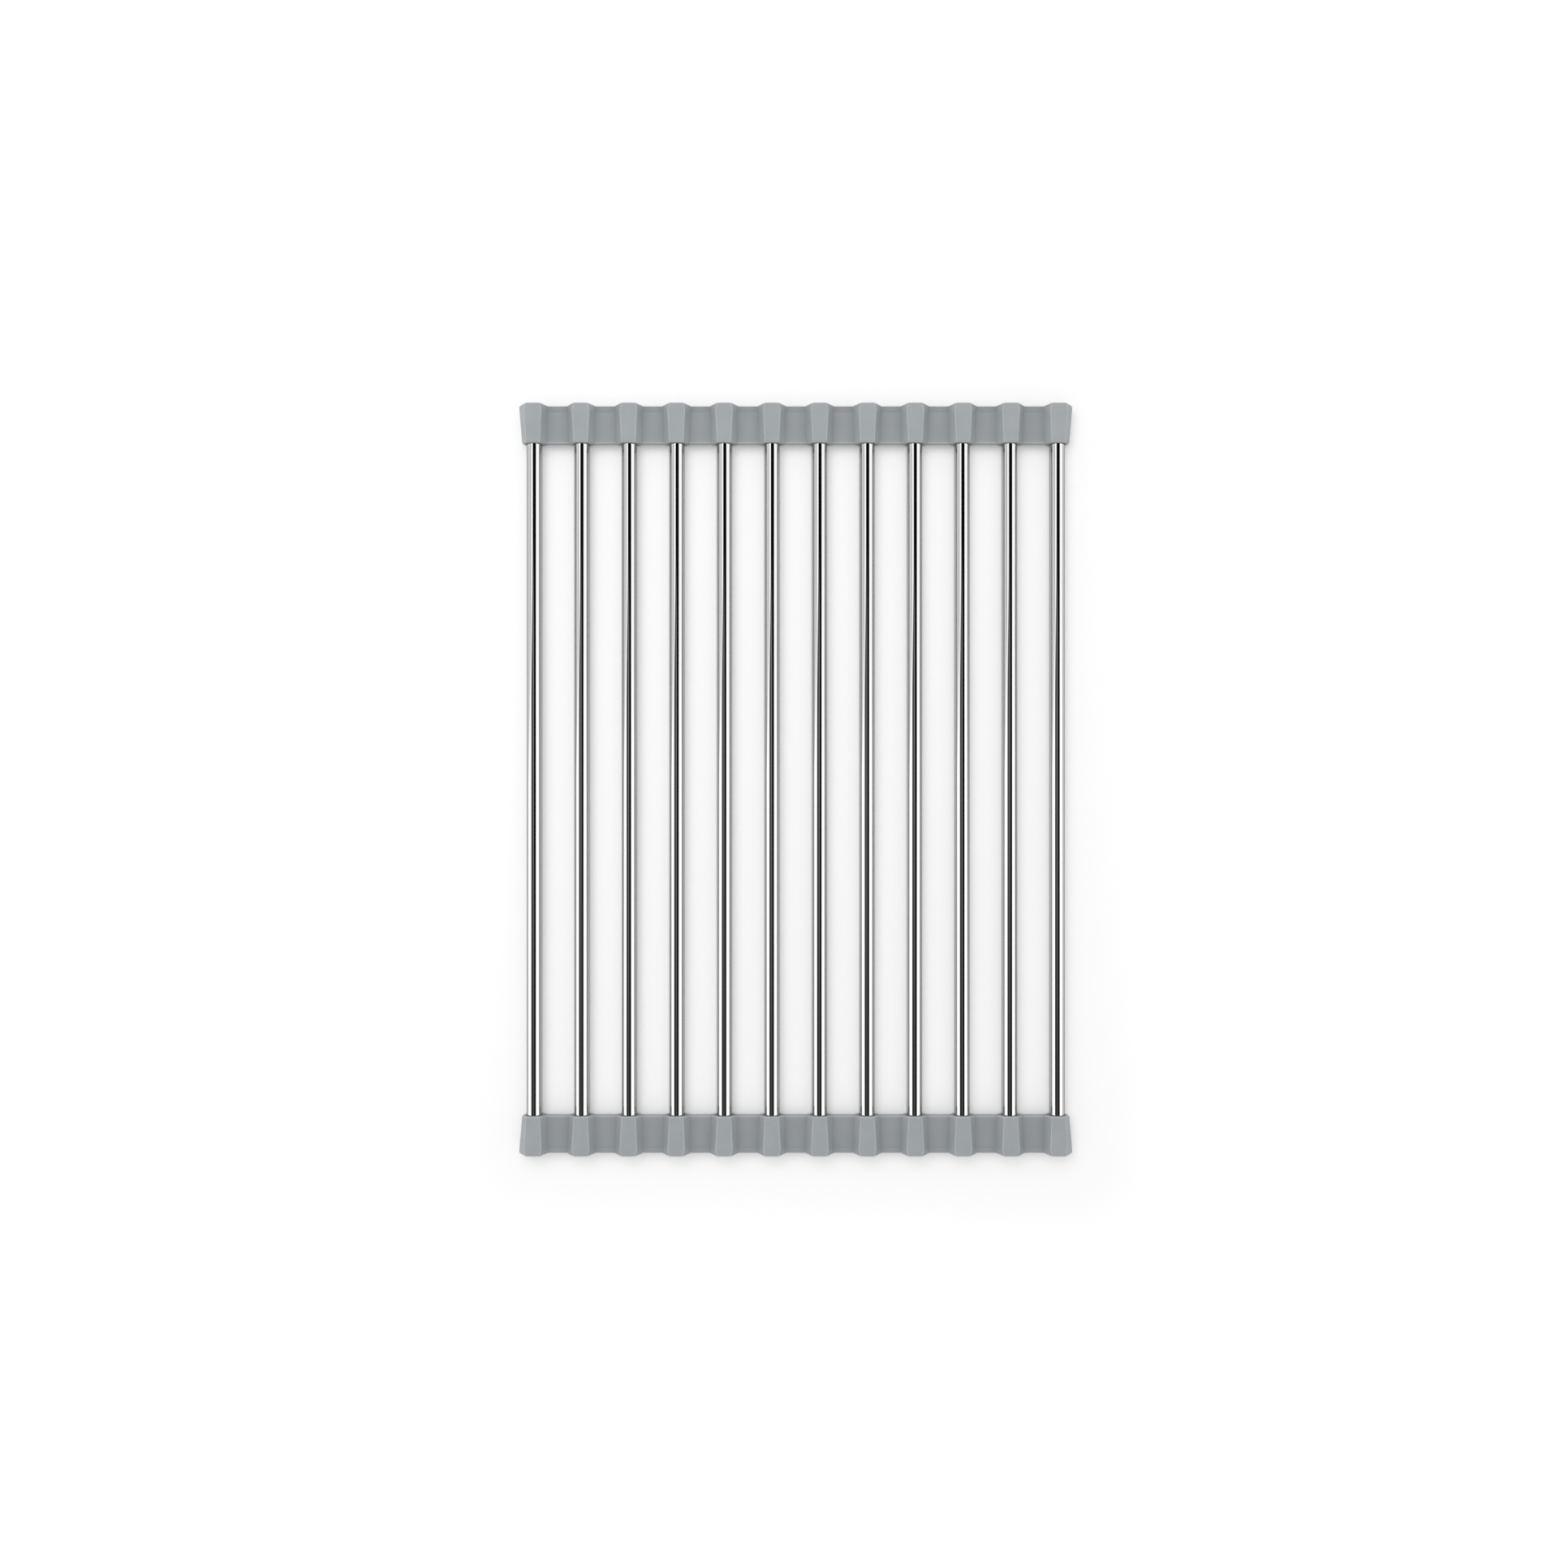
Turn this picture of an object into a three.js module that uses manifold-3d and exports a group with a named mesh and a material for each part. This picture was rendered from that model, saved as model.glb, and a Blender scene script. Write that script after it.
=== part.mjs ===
// A roll-up dish drying rack: twelve stainless tubes whose ends sit in two flexible silicone strips.
// X runs across the tubes, Y along them and Z up. The origin is under the rack's centre, on the surface
// that it lies on. All sizes are in millimetres.
// Each strip is one moulding. It is split here where it bends: a stiff knuckle grips each tube's end, and a
// thin web joins each knuckle to the next.

import * as THREE from "three";
import { mergeVertices } from "three/addons/utils/BufferGeometryUtils.js";
import Module from "manifold-3d";

const wasm = await Module();
wasm.setup();

// The rack as a whole
const tubeCount = 12;
const tubePitch = 28;
const rackLength = 441;
const touchGap = 0.3;

// A tube
const tubeRadius = 4.5;
const tubeWall = 0.5;
const tubeSides = 40;

// Distances into a strip, measured from its outer end towards the rack's middle
const stripDepth = 23.4;
const edgeDepth = 0.4;
const shoulderDepth = 1.3;
const creaseDepth = 4.1;
const socketEndWall = 4;

// The rounding of a strip's inner edge, at a knuckle and at a web
const noseRound = 1.4;
const noseSteps = 3;
const webSetback = 0.4;
const webRound = 1;

// Silicone above and below a tube, out to a knuckle's top facet
const wallAtRim = 2.5;
const wallAtFacetEnd = 1.3;
const wallAtNose = 0.5;

// Half widths of a knuckle's top facet
const facetAtEnd = 3.85;
const facetAtCrease = 5;
const facetAtFacetEnd = 4;
const facetAtNose = 3.5;

// Silicone beside a tube, out to the root of the knuckle's flank, where a web starts
const flankAtRim = 3.7;
const flankAtFacetEnd = 3.15;
const flankAtNose = 2.6;

// Silicone beside a tube on the free side of a strip's first and last knuckle
const sideAtRim = 4;
const sideAtFacetEnd = 2.5;
const sideAtNose = 0.9;

// Half thicknesses of a web
const webLipHeight = 3;
const webHeight = 1.8;
const webNoseHeight = 0.9;

const rimHeight = tubeRadius + wallAtRim;

const steel = new THREE.MeshStandardMaterial({ color: 0xdcdddd, roughness: 0.08, metalness: 1 });
const silicone = new THREE.MeshStandardMaterial({ color: 0x9ca1a3, roughness: 0.6, metalness: 0 });

// A closed solid through convex outlines with equal numbers of points. Each outline lies in its own XZ
// plane, and the planes follow each other towards smaller Y.
function loft(sections) {
  const ring = sections[0].outline.length;
  const last = (sections.length - 1) * ring;
  const points = sections.flatMap(({ depth, outline }) =>
    outline.flatMap(([x, z]) => [x, rackLength / 2 - depth, z]),
  );
  const faces = [];
  for (let s = 0; s < last; s += ring) {
    for (let i = 0; i < ring; i++) {
      const next = (i + 1) % ring;
      faces.push(s + i, s + ring + i, s + next);
      faces.push(s + next, s + ring + i, s + ring + next);
    }
  }
  for (let i = 1; i < ring - 1; i++) {
    faces.push(0, i, i + 1);
    faces.push(last, last + i + 1, last + i);
  }
  const geometry = new THREE.BufferGeometry();
  geometry.setAttribute("position", new THREE.Float32BufferAttribute(points, 3));
  geometry.setIndex(faces);
  geometry.computeVertexNormals();
  return geometry;
}

// A closed geometry as a solid that can be joined and cut.
function solidOf(geometry) {
  const bare = geometry.clone();
  bare.deleteAttribute("normal");
  bare.deleteAttribute("uv");
  const merged = mergeVertices(bare);
  return new wasm.Manifold(
    new wasm.Mesh({
      numProp: 3,
      vertProperties: merged.attributes.position.array,
      triVerts: new Uint32Array(merged.index.array),
    }),
  );
}

function geometryOf(solid) {
  const mesh = solid.getMesh();
  const geometry = new THREE.BufferGeometry();
  geometry.setAttribute("position", new THREE.BufferAttribute(mesh.vertProperties, 3));
  geometry.setIndex(new THREE.BufferAttribute(mesh.triVerts, 1));
  geometry.computeVertexNormals();
  return geometry;
}

// The knuckle's form at each depth: facet and height are the corner of its top facet, root and side the half
// widths towards a web and towards the strip's free end, and lip the height where the flank meets the web.
function knuckleStations() {
  const edgeShare = edgeDepth / shoulderDepth;
  const facetEndDepth = stripDepth - noseRound;
  const { lerp } = THREE.MathUtils;
  const stations = [
    {
      depth: 0,
      facet: facetAtEnd - edgeDepth,
      height: rimHeight - edgeDepth,
      root: facetAtEnd,
      side: facetAtEnd,
      lip: rimHeight - 2 * edgeDepth,
    },
    {
      depth: edgeDepth,
      facet: facetAtEnd,
      height: rimHeight,
      root: lerp(facetAtEnd, tubeRadius + flankAtRim, edgeShare),
      side: lerp(facetAtEnd, tubeRadius + sideAtRim, edgeShare),
      lip: lerp(rimHeight, webLipHeight, edgeShare),
    },
    {
      depth: shoulderDepth,
      facet: lerp(facetAtEnd, facetAtCrease, shoulderDepth / creaseDepth),
      height: rimHeight,
      root: tubeRadius + flankAtRim,
      side: tubeRadius + sideAtRim,
      lip: webLipHeight,
    },
    {
      depth: creaseDepth,
      facet: facetAtCrease,
      height: rimHeight,
      root: tubeRadius + flankAtRim,
      side: tubeRadius + sideAtRim,
      lip: webHeight,
    },
  ];
  for (let step = 0; step <= noseSteps; step++) {
    const turn = ((Math.PI / 2) * step) / noseSteps;
    const fallen = 1 - Math.cos(turn);
    stations.push({
      depth: lerp(facetEndDepth, stripDepth, Math.sin(turn)),
      facet: lerp(facetAtFacetEnd, facetAtNose, fallen),
      height: tubeRadius + lerp(wallAtFacetEnd, wallAtNose, fallen),
      root: tubeRadius + lerp(flankAtFacetEnd, flankAtNose, fallen),
      side: tubeRadius + lerp(sideAtFacetEnd, sideAtNose, fallen),
      lip: lerp(webHeight, webNoseHeight, fallen),
    });
  }
  return stations;
}

// Half the width of a knuckle at a web's root, at any depth.
function rootAt(depth) {
  const stations = knuckleStations();
  const i = stations.findIndex((s) => s.depth >= depth);
  const [before, after] = [stations[i - 1], stations[i]];
  const share = (depth - before.depth) / (after.depth - before.depth);
  return THREE.MathUtils.lerp(before.root, after.root, share);
}

// A knuckle with its blind socket. A strip's first and last knuckle have one free side each.
function knuckleGeometry(freeLeft, freeRight) {
  const body = loft(
    knuckleStations().map(({ depth, facet, height, root, side, lip }) => {
      const left = freeLeft ? side : root;
      const right = freeRight ? side : root;
      const outline = [
        [facet, height],
        [right, lip],
        [right, -lip],
        [facet, -height],
        [-facet, -height],
        [-left, -lip],
        [-left, lip],
        [-facet, height],
      ];
      return { depth, outline };
    }),
  );
  const socketRadius = tubeRadius + touchGap;
  const socketLength = stripDepth - socketEndWall + edgeDepth; // runs out past the inner end
  const socket = new THREE.CylinderGeometry(socketRadius, socketRadius, socketLength, tubeSides);
  socket.translate(0, rackLength / 2 - socketEndWall - socketLength / 2, 0);
  return geometryOf(solidOf(body).subtract(solidOf(socket)));
}

// A web: thin and flat, with a raised lip along the strip's outer end and a rounded inner edge.
function webGeometry() {
  const noseDepth = stripDepth - webSetback;
  const roundDepth = noseDepth - webRound;
  const turned = Math.SQRT1_2; // the share of the round that half of its turn covers
  const profile = [
    [shoulderDepth, webLipHeight - edgeDepth],
    [shoulderDepth + edgeDepth, webLipHeight],
    [creaseDepth, webHeight],
    [roundDepth, webHeight],
    [roundDepth + webRound * turned, webNoseHeight + (webHeight - webNoseHeight) * turned],
    [noseDepth, webNoseHeight],
  ];
  return loft(
    profile.map(([depth, height]) => {
      const half = tubePitch / 2 - rootAt(depth) - touchGap;
      const outline = [
        [half, height],
        [half, -height],
        [-half, -height],
        [-half, height],
      ];
      return { depth, outline };
    }),
  );
}

// A tube: a thin ring turned about Y, its ends just short of the sockets' ends.
function tubeGeometry() {
  const half = rackLength / 2 - socketEndWall - touchGap;
  const boreRadius = tubeRadius - tubeWall;
  const profile = [
    new THREE.Vector2(boreRadius, -half),
    new THREE.Vector2(tubeRadius, -half),
    new THREE.Vector2(tubeRadius, half),
    new THREE.Vector2(boreRadius, half),
    new THREE.Vector2(boreRadius, -half),
  ];
  return new THREE.LatheGeometry(profile, tubeSides);
}

function named(name, geometry, material) {
  const mesh = new THREE.Mesh(geometry, material);
  mesh.name = name;
  return mesh;
}

const rack = new THREE.Group();
rack.position.z = rimHeight;

const backStrip = new THREE.Group();
const frontStrip = new THREE.Group();
frontStrip.scale.y = -1; // the back strip's mirror image
rack.add(backStrip, frontStrip);
const strips = { back: backStrip, front: frontStrip };

for (let k = 0; k < tubeCount; k++) {
  const number = String(k + 1).padStart(2, "0");
  const x = (k - (tubeCount - 1) / 2) * tubePitch;
  const isLast = k === tubeCount - 1;

  const tube = named("tube_" + number, tubeGeometry(), steel);
  tube.position.x = x;
  rack.add(tube);

  for (const [end, strip] of Object.entries(strips)) {
    const knuckle = named(end + "_knuckle_" + number, knuckleGeometry(k === 0, isLast), silicone);
    knuckle.position.x = x;
    strip.add(knuckle);
    if (isLast) continue;
    const web = named(end + "_web_" + number, webGeometry(), silicone);
    web.position.x = x + tubePitch / 2;
    strip.add(web);
  }
}

export default rack;
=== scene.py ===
# The looks of a roll-up dish drying rack: twelve polished steel tubes whose ends sit in two strips
# of soft grey silicone. X runs across the tubes, Y along them, Z up, in metres. Each strip is made
# of a grip round every tube's end and a thin web between each grip and the next, which bends when
# the rack is rolled up.
import math

import bpy
import numpy as np
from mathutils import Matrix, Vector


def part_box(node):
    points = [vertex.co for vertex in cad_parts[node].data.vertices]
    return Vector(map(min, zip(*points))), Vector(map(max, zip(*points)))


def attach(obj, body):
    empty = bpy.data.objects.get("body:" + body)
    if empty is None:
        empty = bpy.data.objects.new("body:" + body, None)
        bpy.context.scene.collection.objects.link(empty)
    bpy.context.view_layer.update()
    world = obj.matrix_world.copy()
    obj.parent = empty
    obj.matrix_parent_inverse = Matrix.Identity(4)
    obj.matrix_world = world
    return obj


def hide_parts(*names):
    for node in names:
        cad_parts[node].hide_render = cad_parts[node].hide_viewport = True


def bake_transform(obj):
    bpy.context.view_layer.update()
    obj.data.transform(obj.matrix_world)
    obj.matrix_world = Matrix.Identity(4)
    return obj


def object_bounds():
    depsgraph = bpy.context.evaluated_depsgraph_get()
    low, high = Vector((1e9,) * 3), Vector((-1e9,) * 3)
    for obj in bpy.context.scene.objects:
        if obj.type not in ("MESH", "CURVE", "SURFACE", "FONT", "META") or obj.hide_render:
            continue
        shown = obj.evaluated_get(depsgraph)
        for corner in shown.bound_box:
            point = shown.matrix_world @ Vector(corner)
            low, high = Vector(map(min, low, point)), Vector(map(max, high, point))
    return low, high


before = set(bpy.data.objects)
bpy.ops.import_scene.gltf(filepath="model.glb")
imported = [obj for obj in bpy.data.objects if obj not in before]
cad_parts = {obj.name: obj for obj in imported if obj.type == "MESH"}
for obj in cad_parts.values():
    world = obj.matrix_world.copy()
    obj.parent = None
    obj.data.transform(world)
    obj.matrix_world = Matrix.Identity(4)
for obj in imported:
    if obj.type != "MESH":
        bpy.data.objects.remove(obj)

cad_box = [list(corner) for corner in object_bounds()]

MM = 0.001
TUBES = 12

# Places that the model gives: the first two tubes and a strip's outer end
first_low, first_high = (np.array(corner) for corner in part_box("tube_01"))
next_low, next_high = (np.array(corner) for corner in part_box("tube_02"))
FIRST_X = (first_low[0] + first_high[0]) / 2
PITCH = (next_low[0] + next_high[0]) / 2 - FIRST_X
MID_Z = (first_low[2] + first_high[2]) / 2
TUBE_RADIUS = (first_high[2] - first_low[2]) / 2
TUBE_HALF = first_high[1]
STRIP_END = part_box("back_knuckle_02")[1][1]

# The two strips, and the way in which each one's outer end faces along Y
BACK, FRONT = 1, -1
STRIPS = {"back": BACK, "front": FRONT}

# A tube, and how many columns it has round it, rows along it and points round a quarter of a lip
TUBE_WALL = 0.5 * MM
TUBE_LIP = 0.15 * MM
TUBE_COLUMNS = 128
TUBE_ROWS = 25
TUBE_LIP_POINTS = 4

# Distances into a strip from its outer end
SHOULDER = 1.3 * MM
FOOT = 2.2 * MM
CREASE = 4.1 * MM
PAST_CREASE = 5.4 * MM
FACET_END = 22.0 * MM
NOSE = 23.1 * MM
WEB_NOSE = 23.0 * MM
SOCKET_END = 4.0 * MM
END_ROUND = 0.4 * MM
NOSE_ROUND = NOSE - FACET_END
BLUNTING = 0.3 * MM

# A grip's section at the outer end, the shoulder, the foot behind it, the crease and the facet's
# end: the height, and half the width of the facet, at the root of a web, at a free side, and the
# height of that root or side
STATIONS = np.array([0, SHOULDER, FOOT, CREASE, FACET_END])
HEIGHTS = np.array([7, 7, 7, 7, 5.8]) * MM
FACETS = np.array([3.85, 4.21, 4.47, 5, 4]) * MM
ROOTS = np.array([3.85, 8.7, 8.3, 8.2, 7.65]) * MM
SIDES = np.array([3.85, 8.5, 8.5, 8.5, 7]) * MM
LIPS = np.array([7, 3, 2.6, 1.8, 1.8]) * MM
# The same at the nose
NOSE_HEIGHT, NOSE_FACET, NOSE_ROOT, NOSE_SIDE, NOSE_LIP = np.array([5, 3.5, 7.1, 5.4, 0.9]) * MM
FACET_CORNER = 0.65 * MM
FLANK_CORNER = 0.9 * MM

# Rows of points: round the outer end's edge and the mouth, between the depths named in grip(), and
# round the nose
QUARTER_ROWS = 7
BODY_ROWS = (13, 15, 12)
NOSE_ROWS = 12
END_FACE_SHARES = np.array([0.02, 0.3, 0.6, 0.85, 0.96])
INNER_FACE_SHARES = np.array([0.08, 0.35, 0.65, 0.92, 1])

# The socket, with the depths of the rows along its wall, and the rows across its bottom as shares
# of its radius
MOUTH_RADIUS = 4.92 * MM
SOCKET_RADIUS = 4.52 * MM
MOUTH_ROUND = MOUTH_RADIUS - SOCKET_RADIUS
WALL_DEPTHS = np.array([NOSE - 2 * MOUTH_ROUND, FACET_END - 2 * MM, SOCKET_END + MM, SOCKET_END])
BOTTOM_SHARES = np.array([0.98, 0.5, 0.05])

# A web, and the distances in from a grip's flank at which it has points: close together at its foot
WEB_END = 1.15 * MM
WEB_ROOT = 8.2 * MM
WEB_LIP = 3.0 * MM
WEB_HALF = 1.8 * MM
WEB_LIP_CORNER = 0.25 * MM
WEB_NOSE_CORNER = 1.0 * MM
WEB_CREASE_CORNER = 1.2 * MM
WEB_FILLET = 0.8 * MM
WEB_INTO_GRIP = 0.7 * MM
WEB_FOOT_STEPS = np.linspace(-1, 1, 17) * WEB_INTO_GRIP
WEB_STEPS = np.concatenate([WEB_FOOT_STEPS, np.linspace(1.2 * MM, 5 * MM, 7)])

# Painted light and shade, kept as a number for each point of the silicone: 1 is a painted
# highlight at its palest, 0 is the plain tone and -1 is painted shade at its darkest. All of the
# values below set it.
WEB_PAINTED_SHADE = -0.5
WEB_EDGE_PAINTED_HIGHLIGHT = 0.5
WEB_SHADE = 0.45
FLANK_SHADE = 0.4
FREE_SIDE_PAINTED_LIGHT = 0.45
END_PAINTED_HIGHLIGHT = 0.5
MOUTH_SHADE = 0.8
NOSE_PAINTED_HIGHLIGHT = {BACK: 0.2, FRONT: 0.9}
NOSE_FALLING_SHADE = {BACK: 4, FRONT: 0}

# Rounded corners: steps of an arc, places along an edge between two arcs, the most of an edge that
# an arc may take, the least tangent of half a turn to divide by, and the tangent below which a
# corner gets no painted highlight or shade
ARC_STEPS = 6
EDGE_SHARES = np.array([0.035, 0.12, 0.22, 0.34, 0.45, 0.55, 0.66, 0.78, 0.88, 0.965])
ARC_REACH_SHARE = 0.45
NO_TURN = 1e-6
SLIGHT_TURN = 0.05


def placed(name, data):
    """A new object in the scene, at the origin."""
    made = bpy.data.objects.new(name, data)
    bpy.context.scene.collection.objects.link(made)
    return made


def skin(name, rings, painted_light, open_ends=False):
    """A closed skin over rings of points, given as [rings, points, 3].

    Each ring is joined to the next by four-sided faces. The first and the last ring shrink to a
    pole at their middle point, or with open_ends they are joined to each other, as a tube's bore
    joins its outside. Faces are turned outwards by the sign of the volume, which is the sum of
    triple products of the four-sided faces' corners. The last argument is a number for each point,
    the painted light and shade, kept as a point attribute of the same name."""
    rows, columns, _ = rings.shape
    points = rings.reshape(-1, 3)
    values = np.broadcast_to(painted_light, (rows, columns)).reshape(-1)
    here = np.arange(columns)
    beside = np.roll(here, -1)
    below = np.arange(rows if open_ends else rows - 1)[:, None] * columns
    above = (below + columns) % (rows * columns)
    corners = [below + here, below + beside, above + beside, above + here]
    quads = np.stack(corners, axis=2).reshape(-1, 4)
    a, b, c, d = (points[quads[:, i]] for i in range(4))
    volume = np.einsum("ij,ij->", a, np.cross(b, c)) + np.einsum("ij,ij->", a, np.cross(c, d))
    faces = [quads]
    if not open_ends:
        points = np.concatenate([points, rings[[0, -1]].mean(axis=1)])
        values = np.concatenate([values, [0, 0]])
        first_pole, last_pole = rows * columns, rows * columns + 1
        last_ring = (rows - 1) * columns
        for fan in ((first_pole, beside, here), (last_pole, last_ring + here, last_ring + beside)):
            faces.append(np.stack(np.broadcast_arrays(*fan), axis=1))
    turned = slice(None, None, -1) if volume < 0 else slice(None)
    mesh = bpy.data.meshes.new(name)
    mesh.from_pydata(points.tolist(), [], sum((part[:, turned].tolist() for part in faces), []))
    mesh.shade_smooth()
    attribute = mesh.attributes.new("painted_light", "FLOAT", "POINT")
    attribute.data.foreach_set("value", values.astype(np.float32))
    return placed(name, mesh)


def rounded_outline(corners, radii):
    """Outlines with rounded corners, for many sections at once: corners is [sections, corners, 2].

    At each corner an arc touches both edges. It starts at the arriving edge's outward normal and
    turns by the corner's own turn, and its middle lies off the corner, along both normals' sum, by
    the radius over one plus their product. A hollow corner has a negative radius. No arc takes more
    than ARC_REACH_SHARE of an edge. Between two arcs the edge keeps the points at EDGE_SHARES. Each
    corner's arc comes before the edge that leaves it.

    Also gives a mark for each point, which follows half a sine wave over an arc: up to 1 round an
    outward corner, down to -1 in a hollow one. It is 0 along an edge. The marks become a painted
    highlight on outward corners and painted shade in hollow ones."""
    arriving = corners - np.roll(corners, 1, axis=1)
    leaving = np.roll(corners, -1, axis=1) - corners
    shortest = np.minimum(np.linalg.norm(arriving, axis=2), np.linalg.norm(leaving, axis=2))
    normals = []
    for edge in (arriving, leaving):
        unit = edge / np.linalg.norm(edge, axis=2, keepdims=True)
        normals.append(np.stack([unit[..., 1], -unit[..., 0]], axis=2))
    cross = arriving[..., 0] * leaving[..., 1] - arriving[..., 1] * leaving[..., 0]
    turn = np.arctan2(cross, (arriving * leaving).sum(axis=2))
    slope = np.tan(np.abs(turn) / 2)
    reach = np.minimum(radii * slope, ARC_REACH_SHARE * shortest)
    radius = np.sign(turn) * reach / np.maximum(slope, NO_TURN)
    both = normals[0] + normals[1]
    product = (normals[0] * normals[1]).sum(axis=2)
    middle = corners - radius[..., None] * both / (1 + product)[..., None]
    start_angle = np.arctan2(normals[0][..., 1], normals[0][..., 0])
    angle = start_angle[..., None] + turn[..., None] * np.linspace(0, 1, ARC_STEPS + 1)
    outwards = np.stack([np.cos(angle), np.sin(angle)], axis=3)
    arcs = middle[:, :, None] + radius[:, :, None, None] * outwards
    start, end = arcs[:, :, -1], np.roll(arcs[:, :, 0], -1, axis=1)
    shares = EDGE_SHARES[None, None, :, None]
    edges = start[:, :, None] * (1 - shares) + end[:, :, None] * shares
    points = np.concatenate([arcs, edges], axis=2).reshape(len(corners), -1, 2)
    wave = np.sin(np.linspace(0, np.pi, ARC_STEPS + 1))
    arc_marks = np.sign(turn)[..., None] * wave * (slope > SLIGHT_TURN)[..., None]
    edge_marks = np.zeros((*turn.shape, len(EDGE_SHARES)))
    marks = np.concatenate([arc_marks, edge_marks], axis=2).reshape(len(corners), -1)
    return points, marks


def blunted(depth, values):
    """The value at each depth, straight between STATIONS, then averaged over a little depth to each
    side, so that no crease across the strip stays knife-sharp."""
    spread = np.linspace(-1, 1, 9) * BLUNTING
    return np.interp(depth[:, None] + spread, STATIONS, values).mean(axis=1)


def with_painted_highlight(marks, shares, most):
    """Marks raised towards most, where they lie under it, by each row's share of the way: a painted
    highlight.
    """
    return marks + shares[:, None] * np.maximum(most - marks, 0)


def grip(name, x, side, free_left, free_right):
    """The silicone round one tube's end: a skin from the middle of its outer end to the bottom of
    its blind socket.

    Its rings are eight-cornered outlines with rounded corners, whose half widths and heights follow
    the depth into the strip. The outer end starts inset by a quarter circle. The nose falls by a
    quarter ellipse. From there the rings change into circles: across the inner face, round the
    mouth by a quarter circle, along the socket's wall, and in to its middle.

    Painted shade darkens its flanks evenly from the facets to the webs' roots. Where no web joins
    it, at an end of the strip, that side is painted lighter instead. Its rounded facet edges carry
    a painted highlight. The outer end's edge gets a painted highlight by half a sine wave over its
    quarter circle, and the nose one over the first half of its fall. Over the second half painted
    shade darkens it where NOSE_FALLING_SHADE says so. The inner face, the mouth and the socket are
    painted in shade."""
    quarter = np.linspace(0, np.pi / 2, QUARTER_ROWS)
    stops = (END_ROUND, 2 * SHOULDER, PAST_CREASE, FACET_END - BLUNTING)
    body = [
        np.linspace(start, end, rows)[1:] for start, end, rows in zip(stops, stops[1:], BODY_ROWS)
    ]
    nose_turn = np.linspace(0, np.pi / 2, NOSE_ROWS)
    at_end = END_ROUND * (1 - np.cos(quarter))
    at_nose = FACET_END + NOSE_ROUND * np.sin(nose_turn)
    depth = np.concatenate([at_end, *body, at_nose])
    inset = np.zeros(len(depth))
    inset[: len(quarter)] = END_ROUND * (1 - np.sin(quarter))
    fallen = np.zeros(len(depth))
    fallen[-len(nose_turn) :] = 1 - np.cos(nose_turn)

    def sized(values, nose_value):
        at_depth = blunted(np.minimum(depth, FACET_END - BLUNTING), values)
        return at_depth * (1 - fallen) + nose_value * fallen

    height = sized(HEIGHTS, NOSE_HEIGHT) - inset
    facet = sized(FACETS, NOSE_FACET) - inset
    root = sized(ROOTS, NOSE_ROOT)
    free = sized(SIDES, NOSE_SIDE)
    lip = sized(LIPS, NOSE_LIP) - 2 * inset
    right = free if free_right else root
    left = free if free_left else root
    corners = np.stack(
        [
            np.stack([right, -lip], axis=1),
            np.stack([right, lip], axis=1),
            np.stack([facet, height], axis=1),
            np.stack([-facet, height], axis=1),
            np.stack([-left, lip], axis=1),
            np.stack([-left, -lip], axis=1),
            np.stack([-facet, -height], axis=1),
            np.stack([facet, -height], axis=1),
        ],
        axis=1,
    )
    radii = np.array([FLANK_CORNER, FLANK_CORNER, FACET_CORNER, FACET_CORNER] * 2)
    outline, marks = rounded_outline(corners, radii)

    # Each side has two root corners with an edge between them, a flank that runs in from the
    # facet's corner before them, and a flank that leaves the second one
    by_corner = marks.reshape(len(depth), len(radii), -1)
    arcs, edges = by_corner[..., : ARC_STEPS + 1], by_corner[..., ARC_STEPS + 1 :]
    # Painted shade on flanks that meet a web, painted light on the free sides
    both_sides = ((free_right, 7, 0, 1), (free_left, 3, 4, 5))
    for is_free, facet_corner, first_root, second_root in both_sides:
        if is_free:
            edges[:, [facet_corner, first_root, second_root]] = FREE_SIDE_PAINTED_LIGHT
        else:
            for root_corner in (first_root, second_root):
                arcs[:, root_corner] = arcs[:, root_corner] * (FLANK_SHADE - 1) - FLANK_SHADE
            edges[:, facet_corner] = -FLANK_SHADE * EDGE_SHARES
            edges[:, first_root] = -FLANK_SHADE
            edges[:, second_root] = FLANK_SHADE * (EDGE_SHARES - 1)
    # Painted highlight on the nose and the outer end's edge, and painted shade under the nose of
    # the back strip
    marks = with_painted_highlight(marks, np.sin(2 * np.pi * np.clip(fallen, 0, 0.5)), NOSE_PAINTED_HIGHLIGHT[side])
    marks = np.minimum(marks, 1 - NOSE_FALLING_SHADE[side] * np.maximum(fallen - 0.5, 0)[:, None])
    marks[: len(quarter)] = with_painted_highlight(marks[: len(quarter)], np.sin(2 * quarter), END_PAINTED_HIGHLIGHT)

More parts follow.
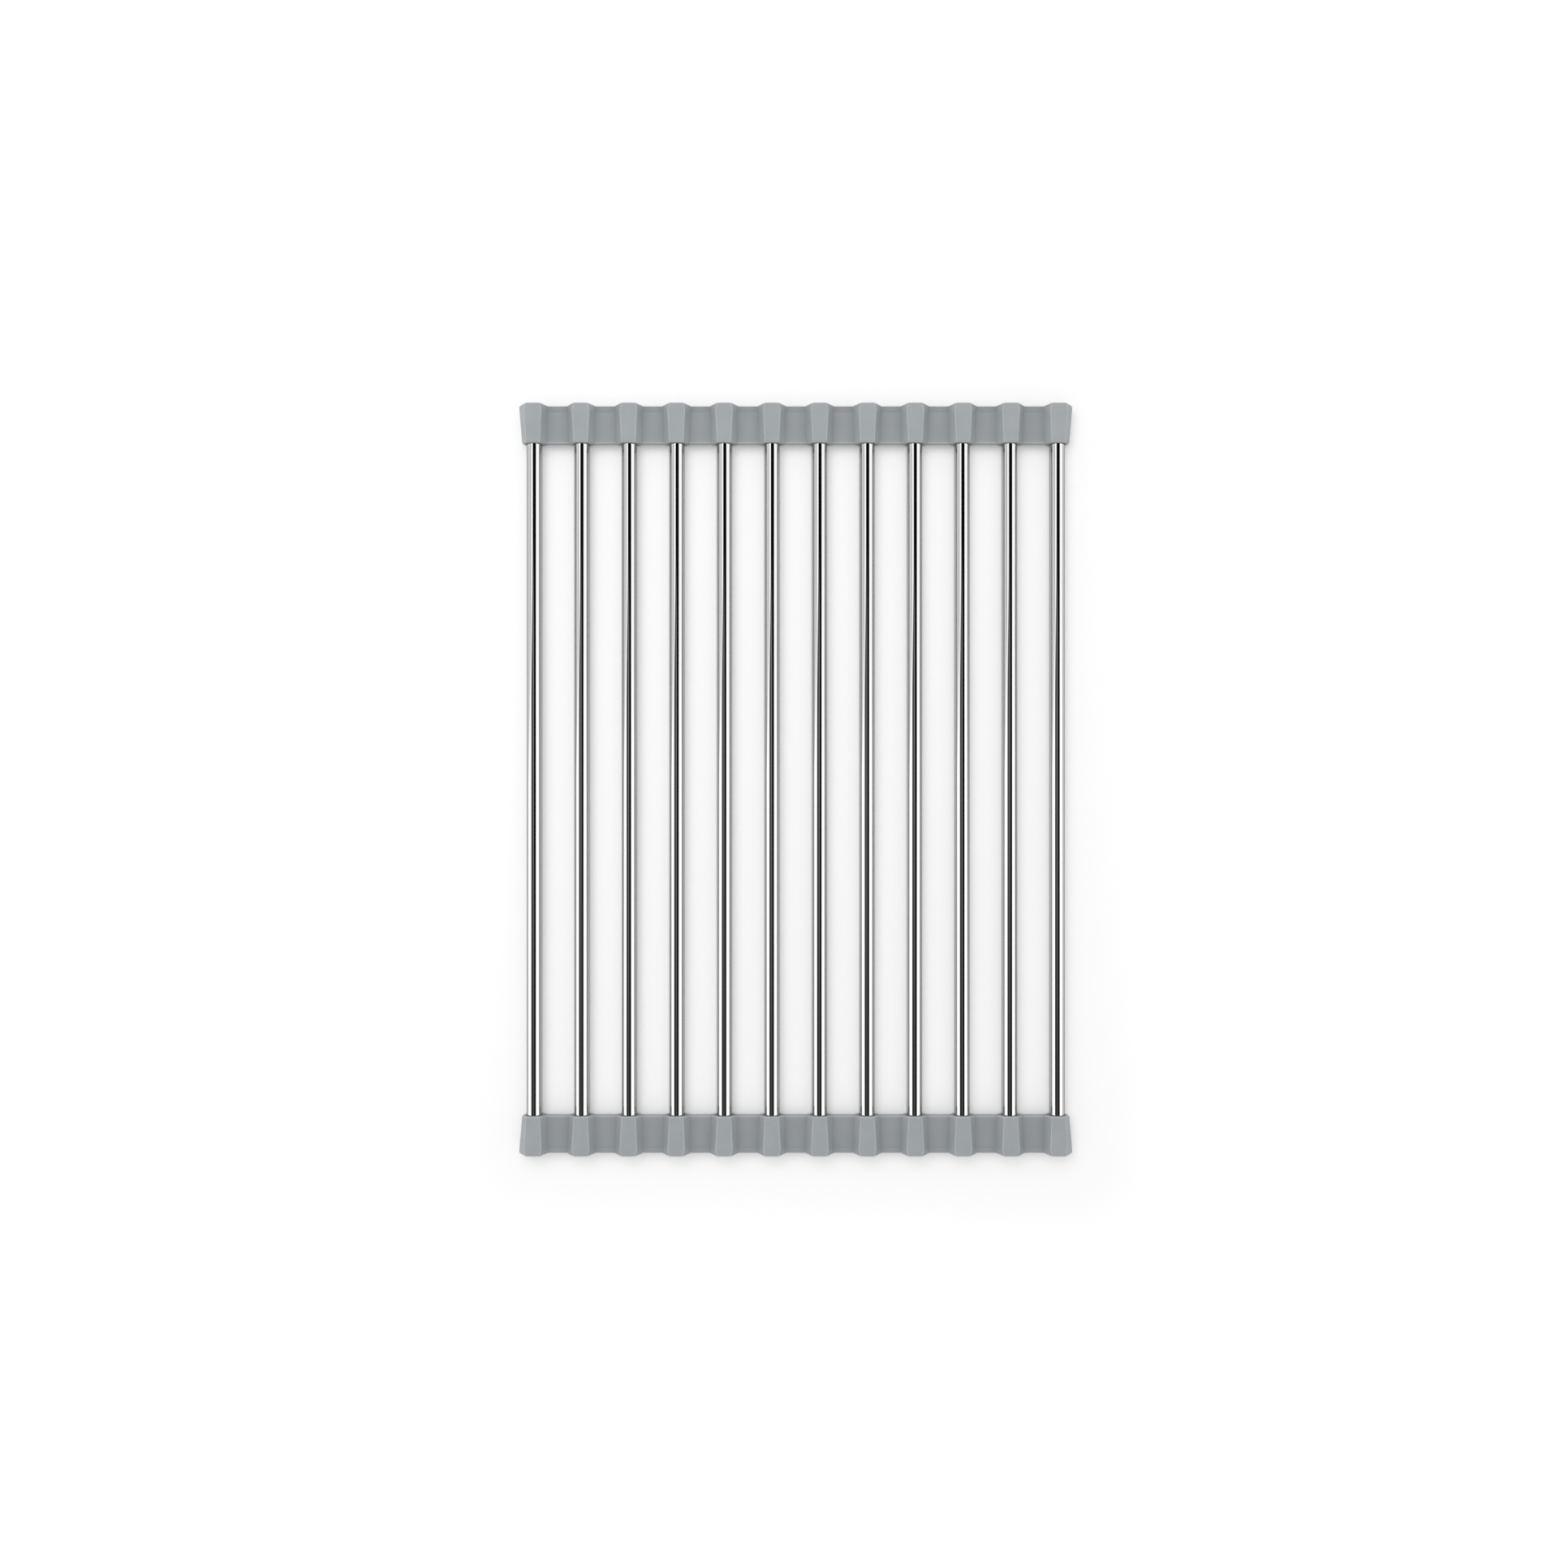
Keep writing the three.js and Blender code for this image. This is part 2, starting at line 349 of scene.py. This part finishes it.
    angle = np.arctan2(outline[-1, :, 1], outline[-1, :, 0])
    circle = np.stack([np.cos(angle), np.sin(angle)], axis=1)
    to_circle = INNER_FACE_SHARES[:, None, None]
    inner_face = outline[-1:] * (1 - to_circle) + MOUTH_RADIUS * circle * to_circle
    mouth_turn = quarter[1:]
    circle_radii = np.concatenate(
        [
            MOUTH_RADIUS - MOUTH_ROUND * np.sin(mouth_turn),
            np.full(len(WALL_DEPTHS), SOCKET_RADIUS),
            SOCKET_RADIUS * BOTTOM_SHARES,
        ]
    )
    end_face = END_FACE_SHARES[:, None, None] * outline[:1]
    circles = circle_radii[:, None, None] * circle
    sections = np.concatenate([end_face, outline, inner_face, circles])
    depths = np.concatenate(
        [
            np.zeros(len(end_face)),
            depth,
            np.full(len(inner_face), NOSE),
            NOSE - MOUTH_ROUND * (1 - np.cos(mouth_turn)),
            WALL_DEPTHS,
            np.full(len(BOTTOM_SHARES), SOCKET_END),
        ]
    )
    inner_start = len(end_face) + len(depth)
    painted_light = np.zeros(sections.shape[:2])
    painted_light[len(end_face) : inner_start] = marks
    # Painted shade on the inner face, round the mouth and in the socket
    painted_light[inner_start:] = -MOUTH_SHADE
    y = np.broadcast_to(side * (STRIP_END - depths)[:, None], sections.shape[:2])
    return skin(name, np.stack([x + sections[..., 0], y, MID_Z + sections[..., 1]], axis=2), painted_light)


def web(name, x, side):
    """The thin silicone between two grips: one upright section along the strip's depth, carried
    across the gap.

    The section has a raised lip at the outer edge, a crease behind it and a full round at the inner
    edge. Across the gap it is as long as the grips leave it at each depth, plus a little inside
    them. Near a grip its thickness grows along a circle that touches both the web and the grip's
    flank.

    Painted shade makes it darker than a grip, darker still in its creases, and darker with the
    square of the distance from its middle to the grips. Its rounded edges get a painted highlight."""
    corners = np.array(
        [
            [WEB_END, -WEB_LIP],
            [CREASE, -WEB_HALF],
            [WEB_NOSE, -WEB_HALF],
            [WEB_NOSE, WEB_HALF],
            [CREASE, WEB_HALF],
            [WEB_END, WEB_LIP],
        ]
    )[None]
    half_radii = [WEB_LIP_CORNER, WEB_CREASE_CORNER, WEB_NOSE_CORNER]
    section, marks = rounded_outline(corners, np.array(half_radii + half_radii[::-1]))
    depth, height = section[0, :, 0], section[0, :, 1]
    in_nose = np.clip((depth - FACET_END) / NOSE_ROUND, 0, 1)
    root = np.minimum(blunted(np.minimum(depth, FACET_END - BLUNTING), ROOTS), WEB_ROOT)
    root = root + (NOSE_ROOT - root) * (1 - np.sqrt(1 - in_nose**2))
    half = PITCH / 2 - root
    wide = PITCH / 2 - WEB_ROOT
    across = np.concatenate([-1 + WEB_STEPS / wide, [0], (1 - WEB_STEPS / wide)[::-1]])
    from_flank = wide * (1 - np.abs(across))
    at_crease = list(STATIONS).index(CREASE)
    flank_turn = np.arctan2(HEIGHTS[at_crease] - WEB_HALF, ROOTS[at_crease] - FACETS[at_crease])
    toe = WEB_FILLET * np.tan(flank_turn / 2)
    run = np.clip(toe - from_flank, 0, WEB_FILLET * np.sin(flank_turn))
    rise = WEB_FILLET - np.sqrt(WEB_FILLET**2 - run**2)
    place = x + np.sign(across)[:, None] * np.maximum(half - from_flank[:, None], 0)
    y = np.broadcast_to(side * (STRIP_END - depth), place.shape)
    z = MID_Z + height + rise[:, None] * np.clip(height / WEB_HALF, -1, 1)
    # Painted shade over the whole web, deeper in its creases and towards the grips, and a painted
    # highlight on its rounded edges
    painted_crease_shade = rise / rise.max() * (from_flank > -WEB_INTO_GRIP / 2)
    tone = np.where(marks > 0, WEB_EDGE_PAINTED_HIGHLIGHT * marks, WEB_PAINTED_SHADE + marks)
    darker = painted_crease_shade + WEB_SHADE * np.minimum(np.abs(across), 1) ** 2
    return skin(name, np.stack([place, y, z], axis=2), np.clip(tone - darker[:, None], -1, 1))


def polished_tube(name, x):
    """A thin tube along Y: its section is the wall's own outline, four rounded lips and two long
    straight sides, turned about the axis."""
    bore = TUBE_RADIUS - TUBE_WALL
    lip_y = TUBE_HALF - TUBE_LIP
    quarter = np.linspace(0, np.pi / 2, TUBE_LIP_POINTS)
    along = np.linspace(-1, 1, TUBE_ROWS)[1:-1] * (TUBE_HALF - 2 * TUBE_LIP)

    def lip(y, radius, start):
        turn = start + quarter
        return np.array([y, radius]) + TUBE_LIP * np.stack([np.cos(turn), np.sin(turn)], axis=1)

    wall = np.concatenate(
        [
            lip(-lip_y, bore + TUBE_LIP, np.pi),
            np.stack([along, np.full(len(along), bore)], axis=1),
            lip(lip_y, bore + TUBE_LIP, -np.pi / 2),
            lip(lip_y, TUBE_RADIUS - TUBE_LIP, 0),
            np.stack([-along, np.full(len(along), TUBE_RADIUS)], axis=1),
            lip(-lip_y, TUBE_RADIUS - TUBE_LIP, np.pi / 2),
        ]
    )
    turn = np.linspace(0, 2 * np.pi, TUBE_COLUMNS, endpoint=False)
    y = np.broadcast_to(wall[:, :1], (len(wall), TUBE_COLUMNS))
    radius = wall[:, 1:]
    rings = np.stack([x + radius * np.cos(turn), y, MID_Z + radius * np.sin(turn)], axis=2)
    return skin(name, rings, 0.0, open_ends=True)


class Value:
    """A shader socket in a sum: each operator adds the Math node that works it out."""

    def __init__(self, finish, socket):
        self.finish, self.socket = finish, socket

    def out(self, name):
        """Another output of the same node."""
        return Value(self.finish, self.socket.node.outputs[name])

    def math(self, operation, *others, clamp=False):
        settings = {"operation": operation, "use_clamp": clamp}
        return self.finish.node("ShaderNodeMath", settings, dict(enumerate((self, *others))))

    def __add__(self, other):
        return self.math("ADD", other)

    def __sub__(self, other):
        return self.math("SUBTRACT", other)

    def __rsub__(self, other):
        return self.finish.node("ShaderNodeMath", {"operation": "SUBTRACT"}, {0: other, 1: self})

    def __mul__(self, other):
        return self.math("MULTIPLY", other)

    def __truediv__(self, other):
        return self.math("DIVIDE", other)

    def __pow__(self, other):
        return self.math("POWER", other)

    __radd__, __rmul__ = __add__, __mul__


def rgba(colour):
    """A colour of three numbers with full alpha, or a colour socket as it is."""
    return colour if isinstance(colour, Value) else (*colour, 1)


class Finish:
    """A node tree being written. node() adds any node: settings first, then the values or links of
    its sockets."""

    def __init__(self, owner):
        owner.use_nodes = True
        self.tree = owner.node_tree
        self.tree.nodes.clear()

    def node(self, kind, settings=None, sockets=None, output=0):
        made = self.tree.nodes.new(kind)
        for key, value in (settings or {}).items():
            setattr(made, key, value)
        for key, value in (sockets or {}).items():
            if isinstance(value, Value):
                self.tree.links.new(value.socket, made.inputs[key])
            else:
                made.inputs[key].default_value = value
        return Value(self, made.outputs[output]) if len(made.outputs) else made

    def object_place(self):
        """Where a point lies, in its object's own coordinates."""
        return self.node("ShaderNodeTexCoord", output="Object")

    def xyz(self, vector):
        """A vector's X, with Y and Z as its node's other outputs."""
        return self.node("ShaderNodeSeparateXYZ", {}, {"Vector": vector})

    def blend(self, share, low, high):
        """A colour between low and high by share. 0, 6 and 7 are the node's sockets for these."""
        sockets = {0: share, 6: rgba(low), 7: rgba(high)}
        return self.node("ShaderNodeMix", {"data_type": "RGBA"}, sockets, output=2)

    def noise(self, place, scale, detail=2.0, roughness=0.5):
        sockets = {"Vector": place, "Scale": scale, "Detail": detail, "Roughness": roughness}
        return self.node("ShaderNodeTexNoise", {}, sockets)

    def ramp(self, value, start, end, kind="LINEAR"):
        """0 at start and 1 at end."""
        sockets = {"Value": value, "From Min": start, "From Max": end}
        return self.node("ShaderNodeMapRange", {"interpolation_type": kind}, sockets)

    def smooth(self, value, start, end):
        return self.ramp(value, start, end, "SMOOTHSTEP")

    def band(self, value, low, high, soft):
        """1 between low and high, falling to 0 over soft at each side."""
        rising = self.ramp(value, low - soft / 2, low + soft / 2)
        return rising * self.ramp(value, high + soft / 2, high - soft / 2)

    def stretched(self, place, scale):
        settings = {"vector_type": "POINT"}
        return self.node("ShaderNodeMapping", settings, {"Vector": place, "Scale": scale})

    def bump(self, height, strength, distance):
        sockets = {"Strength": strength, "Distance": distance, "Height": height}
        return self.node("ShaderNodeBump", {}, sockets)

    def surface(self, kind, sockets):
        """The last two nodes: a shader and the output that shows it."""
        self.node("ShaderNodeOutputMaterial", {}, {"Surface": self.node(kind, {}, sockets)})


# Silicone. Noise scales count waves in a metre. Each mix gives the shares of clouds, patches and
# grain in turn.
SILICONE_LOW = (0.33, 0.3525, 0.367)
SILICONE_HIGH = (0.4, 0.424, 0.441)
# The next two colours are painted highlight and painted shade
SILICONE_PAINTED_HIGHLIGHT = (0.6, 0.62, 0.637)
SILICONE_PAINTED_SHADE = (0.235, 0.25, 0.258)
CLOUD_SCALE = 90
PATCH_SCALE = 700
GRAIN_SCALE = 5200
TONE_MIX = (0.55, 0.25, 0.2)
TONE_CONTRAST = 1.6
# Painted light: the silicone is lighter towards the back strip and darker towards the front
PAINTED_LIGHT_TOWARDS_BACK = 0.13
# Shares of painted highlight and painted shade
PAINTED_HIGHLIGHT_SHARE = 0.6
PAINTED_SHADE_SHARE = 0.8
SILICONE_ROUGHNESS = 0.6
PATCH_ROUGHNESS = 0.14
GRAIN_ROUGHNESS = 0.1
# Less roughness where painted shade lies
PAINTED_SHADE_GLOSS = 0.1
RELIEF_GRAIN = 0.6
RELIEF_PATCHES = 0.8
SILICONE_BUMP = {"strength": 0.35, "distance": 0.00006}


def silicone_finish():
    """Matte moulded silicone: faint cloudy mottling and a fine grain that catches the light.
    Painted highlights make its rounded edges, noses and free sides paler, and painted shade darkens
    its creases, flanks, webs and mouths. It is painted lighter towards the back strip and darker
    towards the front."""
    material = bpy.data.materials.new("grey_silicone")
    f = Finish(material)
    place = f.object_place()
    clouds = f.noise(place, CLOUD_SCALE, 3)
    patches = f.noise(place, PATCH_SCALE, 2)
    grain = f.noise(place, GRAIN_SCALE, 2, 0.6)
    painted_light = f.node("ShaderNodeAttribute", {"attribute_name": "painted_light"}, output="Fac")
    # Painted highlight and painted shade from the point attribute
    painted_highlight = painted_light.math("MAXIMUM", 0)
    painted_shade = (0 - painted_light).math("MAXIMUM", 0)
    # Painted light and shade along Y: lighter at the back strip, darker at the front
    painted_light_towards_back = f.xyz(place).out("Y") / STRIP_END
    mottling = clouds * TONE_MIX[0] + patches * TONE_MIX[1] + grain * TONE_MIX[2]
    tone = (mottling - 0.5) * TONE_CONTRAST + 0.5 + painted_light_towards_back * PAINTED_LIGHT_TOWARDS_BACK
    colour = f.blend(tone.math("MINIMUM", 1, clamp=True), SILICONE_LOW, SILICONE_HIGH)
    colour = f.blend(painted_highlight * PAINTED_HIGHLIGHT_SHARE, colour, SILICONE_PAINTED_HIGHLIGHT)
    colour = f.blend(painted_shade * PAINTED_SHADE_SHARE, colour, SILICONE_PAINTED_SHADE)
    uneven = (patches - 0.5) * PATCH_ROUGHNESS + (grain - 0.5) * GRAIN_ROUGHNESS
    relief = f.bump(grain * RELIEF_GRAIN + patches * RELIEF_PATCHES, **SILICONE_BUMP)
    f.surface(
        "ShaderNodeBsdfPrincipled",
        {
            "Base Color": colour,
            "Roughness": SILICONE_ROUGHNESS + uneven - painted_shade * PAINTED_SHADE_GLOSS,
            "Normal": relief,
            "Specular IOR Level": 0.5,
        },
    )
    return material


# Steel. Its noises are stretched along the tube, by waves in a metre along X, Y and Z.
STEEL_LOW = (0.5, 0.5, 0.505)
STEEL_HIGH = (0.57, 0.57, 0.57)
# An edge tint darker than the steel's own: painted shade in the reflection at the tubes' sides
STEEL_EDGE_PAINTED_SHADE = (0.35, 0.35, 0.35, 1)
LINE_SCALES = (2600, 14, 2600)
WAVE_SCALES = (60, 9, 60)
MARK_SCALE = 160
DRIED_FROM, DRIED_TO = 0.56, 0.74
LINE_TONE = 0.7
MARK_TONE = 0.3
STEEL_ROUGHNESS = 0.025
LINE_ROUGHNESS = 0.03
DRIED_ROUGHNESS = 0.035
LINE_RELIEF = 0.02
STEEL_BUMP = {"strength": 0.5, "distance": 0.00001}


def steel_finish():
    """Mirror-polished steel tube: hair-fine lines along the tube from drawing and polishing, a slow
    waviness that bends reflections a little, and dull patches left by dried water."""
    material = bpy.data.materials.new("polished_steel")
    f = Finish(material)
    place = f.object_place()
    lines = f.noise(f.stretched(place, LINE_SCALES), 1, 3, 0.6)
    waves = f.noise(f.stretched(place, WAVE_SCALES), 1, 1)
    marks = f.noise(place, MARK_SCALE, 3, 0.6)
    dried = f.smooth(marks, DRIED_FROM, DRIED_TO)
    f.surface(
        "ShaderNodeBsdfPrincipled",
        {
            "Base Color": f.blend(lines * LINE_TONE + marks * MARK_TONE, STEEL_LOW, STEEL_HIGH),
            "Roughness": STEEL_ROUGHNESS + lines * LINE_ROUGHNESS + dried * DRIED_ROUGHNESS,
            "Normal": f.bump(lines * LINE_RELIEF + waves, **STEEL_BUMP),
            "Metallic": 1.0,
            "Specular Tint": STEEL_EDGE_PAINTED_SHADE,
        },
    )
    return material


# The floor, its own light next to the rack and how much that grows, over distances from the rack in
# metres
FLOOR_COLOUR = (0.9, 0.9, 0.9)
FLOOR_WHITE = 0.155
FLOOR_WHITE_AWAY = 0.2
FLOOR_WHITE_FAR = 0.25
AWAY_AT = 0.15
FAR_AT = 1.5
FLOOR_HALF = 8.0
FLOOR_DROP = 0.05 * MM


def paper_finish():
    """The pale floor: matte white paper. What it lacks to the backdrop's white is its own light,
    which only the camera and mirrors see, so that the floor keeps the rack's shadow and throws no
    more light on the rack. That light grows with the distance from the rack's outline, so that the
    floor runs into the white backdrop."""
    material = bpy.data.materials.new("pale_floor")
    f = Finish(material)
    ray = f.node("ShaderNodeLightPath", output="Is Camera Ray")
    seen = ray.math("MAXIMUM", ray.out("Is Glossy Ray"))
    seen = seen.math("MAXIMUM", ray.out("Is Transmission Ray"))
    paper = f.node("ShaderNodeBsdfDiffuse", {}, {"Color": rgba(FLOOR_COLOUR)})
    place = f.xyz(f.object_place())
    beside = (place.math("ABSOLUTE") - cad_box[1][0]).math("MAXIMUM", 0)
    beyond = (place.out("Y").math("ABSOLUTE") - cad_box[1][1]).math("MAXIMUM", 0)
    distance = (beside**2 + beyond**2) ** 0.5
    away = f.smooth(distance, 0, AWAY_AT)
    far = f.smooth(distance, AWAY_AT, FAR_AT)
    own = FLOOR_WHITE + away * FLOOR_WHITE_AWAY + far * FLOOR_WHITE_FAR
    white = f.node("ShaderNodeEmission", {}, {"Color": rgba((1, 1, 1)), "Strength": seen * own})
    f.surface("ShaderNodeAddShader", {0: paper, 1: white})
    return material


silicone = silicone_finish()
steel = steel_finish()


def finished(piece, material, node):
    piece.data.materials.append(material)
    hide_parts(node)


for k in range(TUBES):
    number = f"{k + 1:02d}"
    body = "bar_" + number
    x = FIRST_X + k * PITCH
    tube = polished_tube("polished_tube_" + number, x)
    finished(tube, steel, "tube_" + number)
    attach(tube, body)
    for end, side in STRIPS.items():
        holder = grip(f"{end}_grip_{number}", x, side, k == 0, k == TUBES - 1)
        finished(holder, silicone, f"{end}_knuckle_{number}")
        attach(holder, body)
        if k == TUBES - 1:
            continue
        middle = x + PITCH / 2
        reach = PITCH / 2 - WEB_ROOT
        joining = web(f"{end}_bending_web_{number}", middle, side)
        finished(joining, silicone, f"{end}_web_{number}")
        bend_start, bend_end = (middle - reach, 0, MID_Z), (middle + reach, 0, MID_Z)
        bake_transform(joining)

floor_mesh = bpy.data.meshes.new("floor")
square = ((-1, -1), (1, -1), (1, 1), (-1, 1))
floor_corners = [(x * FLOOR_HALF, y * FLOOR_HALF, -FLOOR_DROP) for x, y in square]
floor_mesh.from_pydata(floor_corners, [], [(0, 1, 2, 3)])
floor_mesh.materials.append(paper_finish())
placed("floor", floor_mesh)

# The studio: an even white tent, white to the camera. For metal it also has a dark slot overhead,
# along the tubes, where the camera and its boom stand, with a grey panel to its left that ends
# before the back strip, a paler patch in the slot over the nearer part, a grey strip low on the
# right, and a dimmer left side over the back strip. Angles are in degrees from straight up: across
# the tubes, plus to the right, and along them, plus to the back. A band is given by where it starts
# and ends across, and how soft its sides are.
SOFTBOX = 1.9
TENT = 0.65
TENT_SIDES = 0.75
TENT_TOP = 0.5
TUBES_THROW = 1.0
TOWARDS_FRONT = (2, -11)
PANEL_BACK_EDGE = (13.1, 9.1)
PANEL_SLANT = 0.146
PATCH_BACK_EDGE = (9.5, 5.0)
BACK_PART = (5.0, 10.5)
BACK_DIM = 0.08
BACK_BANDS = (((-58, -43, 5), 0.6), ((-105, -64, 8), 0.4))
PANEL, PANEL_LIGHT, PANEL_FRONT_DROP = (-40, -10, 2), 0.07, 0.05
SLOT, SLOT_LIGHT, SLOT_FRONT_GAIN = (-17, 32, 2), 0.002, 0.012
PATCH, PATCH_LIGHT, PATCH_FRONT_DROP = (-11, -1, 2), 0.24, 0.15
RIGHT_STRIP, RIGHT_STRIP_LIGHT = (81, 100, 3), 0.2

world = bpy.data.worlds.new("studio")
bpy.context.scene.world = world
f = Finish(world)
ray = f.node("ShaderNodeLightPath", output="Is Camera Ray")
east = f.xyz(f.node("ShaderNodeTexCoord", output="Generated"))
north, up = east.out("Y"), east.out("Z")
across = east.math("ARCTAN2", up) / math.radians(1)
along = north.math("ARCTAN2", up) / math.radians(1)
low = f.ramp(along, *TOWARDS_FRONT)
dimmed = BACK_DIM
for band, depth in BACK_BANDS:
    dimmed = dimmed + f.band(across, *band) * depth
mirror = 1 - f.smooth(along, *BACK_PART) * dimmed
for place, light in (
    (
        f.band(across, *PANEL) * f.smooth(along - across * PANEL_SLANT, *PANEL_BACK_EDGE),
        PANEL_LIGHT - low * PANEL_FRONT_DROP,
    ),
    (f.band(across, *SLOT), SLOT_LIGHT + low * SLOT_FRONT_GAIN),
    (
        f.band(across, *PATCH) * f.smooth(along, *PATCH_BACK_EDGE),
        PATCH_LIGHT - low * PATCH_FRONT_DROP,
    ),
    (f.band(across, *RIGHT_STRIP), RIGHT_STRIP_LIGHT),
):
    mirror = mirror * (1 - place) + place * light
seen = ray.math("MAXIMUM", ray.out("Is Transmission Ray"))
glossy = ray.out("Is Glossy Ray")
thrown = ray.out("Diffuse Depth").math("MINIMUM", 1)
in_steel = (mirror * SOFTBOX) * (1 - thrown) + thrown * TUBES_THROW
lit = (TENT_SIDES + up.math("MAXIMUM", 0) ** 2 * TENT_TOP) * TENT
strength = lit * ((1 - seen) * (1 - glossy)) + in_steel * glossy + seen
background = f.node("ShaderNodeBackground", {}, {"Color": rgba((1, 1, 1)), "Strength": strength})
f.node("ShaderNodeOutputWorld", {}, {"Surface": background})

# One broad lamp overhead, a little to the left and towards the back, turned to the rack's middle.
# Its power is what lights a level white surface there to LAMP_SHARE of full white.
LAMP_SHARE = 0.35
LAMP_SIZE = 1.3
LAMP_X, LAMP_Y, LAMP_Z = LAMP_PLACE = (-0.3, 0.45, 1.5)
lamp_data = bpy.data.lights.new("broad_lamp", "AREA")
lamp_data.shape = "DISK"
lamp_data.size = LAMP_SIZE
lamp_data.energy = LAMP_SHARE * math.pi**2 * math.dist(LAMP_PLACE, (0, 0, MID_Z)) ** 3 / LAMP_Z
lamp = placed("broad_lamp", lamp_data)
lamp.location = LAMP_PLACE
lamp.rotation_euler = (-math.atan2(LAMP_Y, LAMP_Z), math.atan2(LAMP_X, LAMP_Z), 0)
lamp.visible_glossy = False

bpy.context.scene.view_settings.view_transform = "Standard"

# The camera looks straight down, a little left of and before the rack's middle, on a square frame
# of FRAME_WIDTH metres at the rack's mid-plane
CAMERA_HEIGHT = 0.870
CAMERA_X = -6.92 * MM
CAMERA_Y = -2.6 * MM
FRAME_WIDTH = 0.9243
SENSOR_WIDTH = 36
camera_data = bpy.data.cameras.new("camera")
camera_data.sensor_width = SENSOR_WIDTH
camera_data.lens = SENSOR_WIDTH * CAMERA_HEIGHT / FRAME_WIDTH
camera = placed("camera", camera_data)
camera.location = (CAMERA_X, CAMERA_Y, MID_Z + CAMERA_HEIGHT)
bpy.context.scene.camera = camera

bpy.context.view_layer.update()
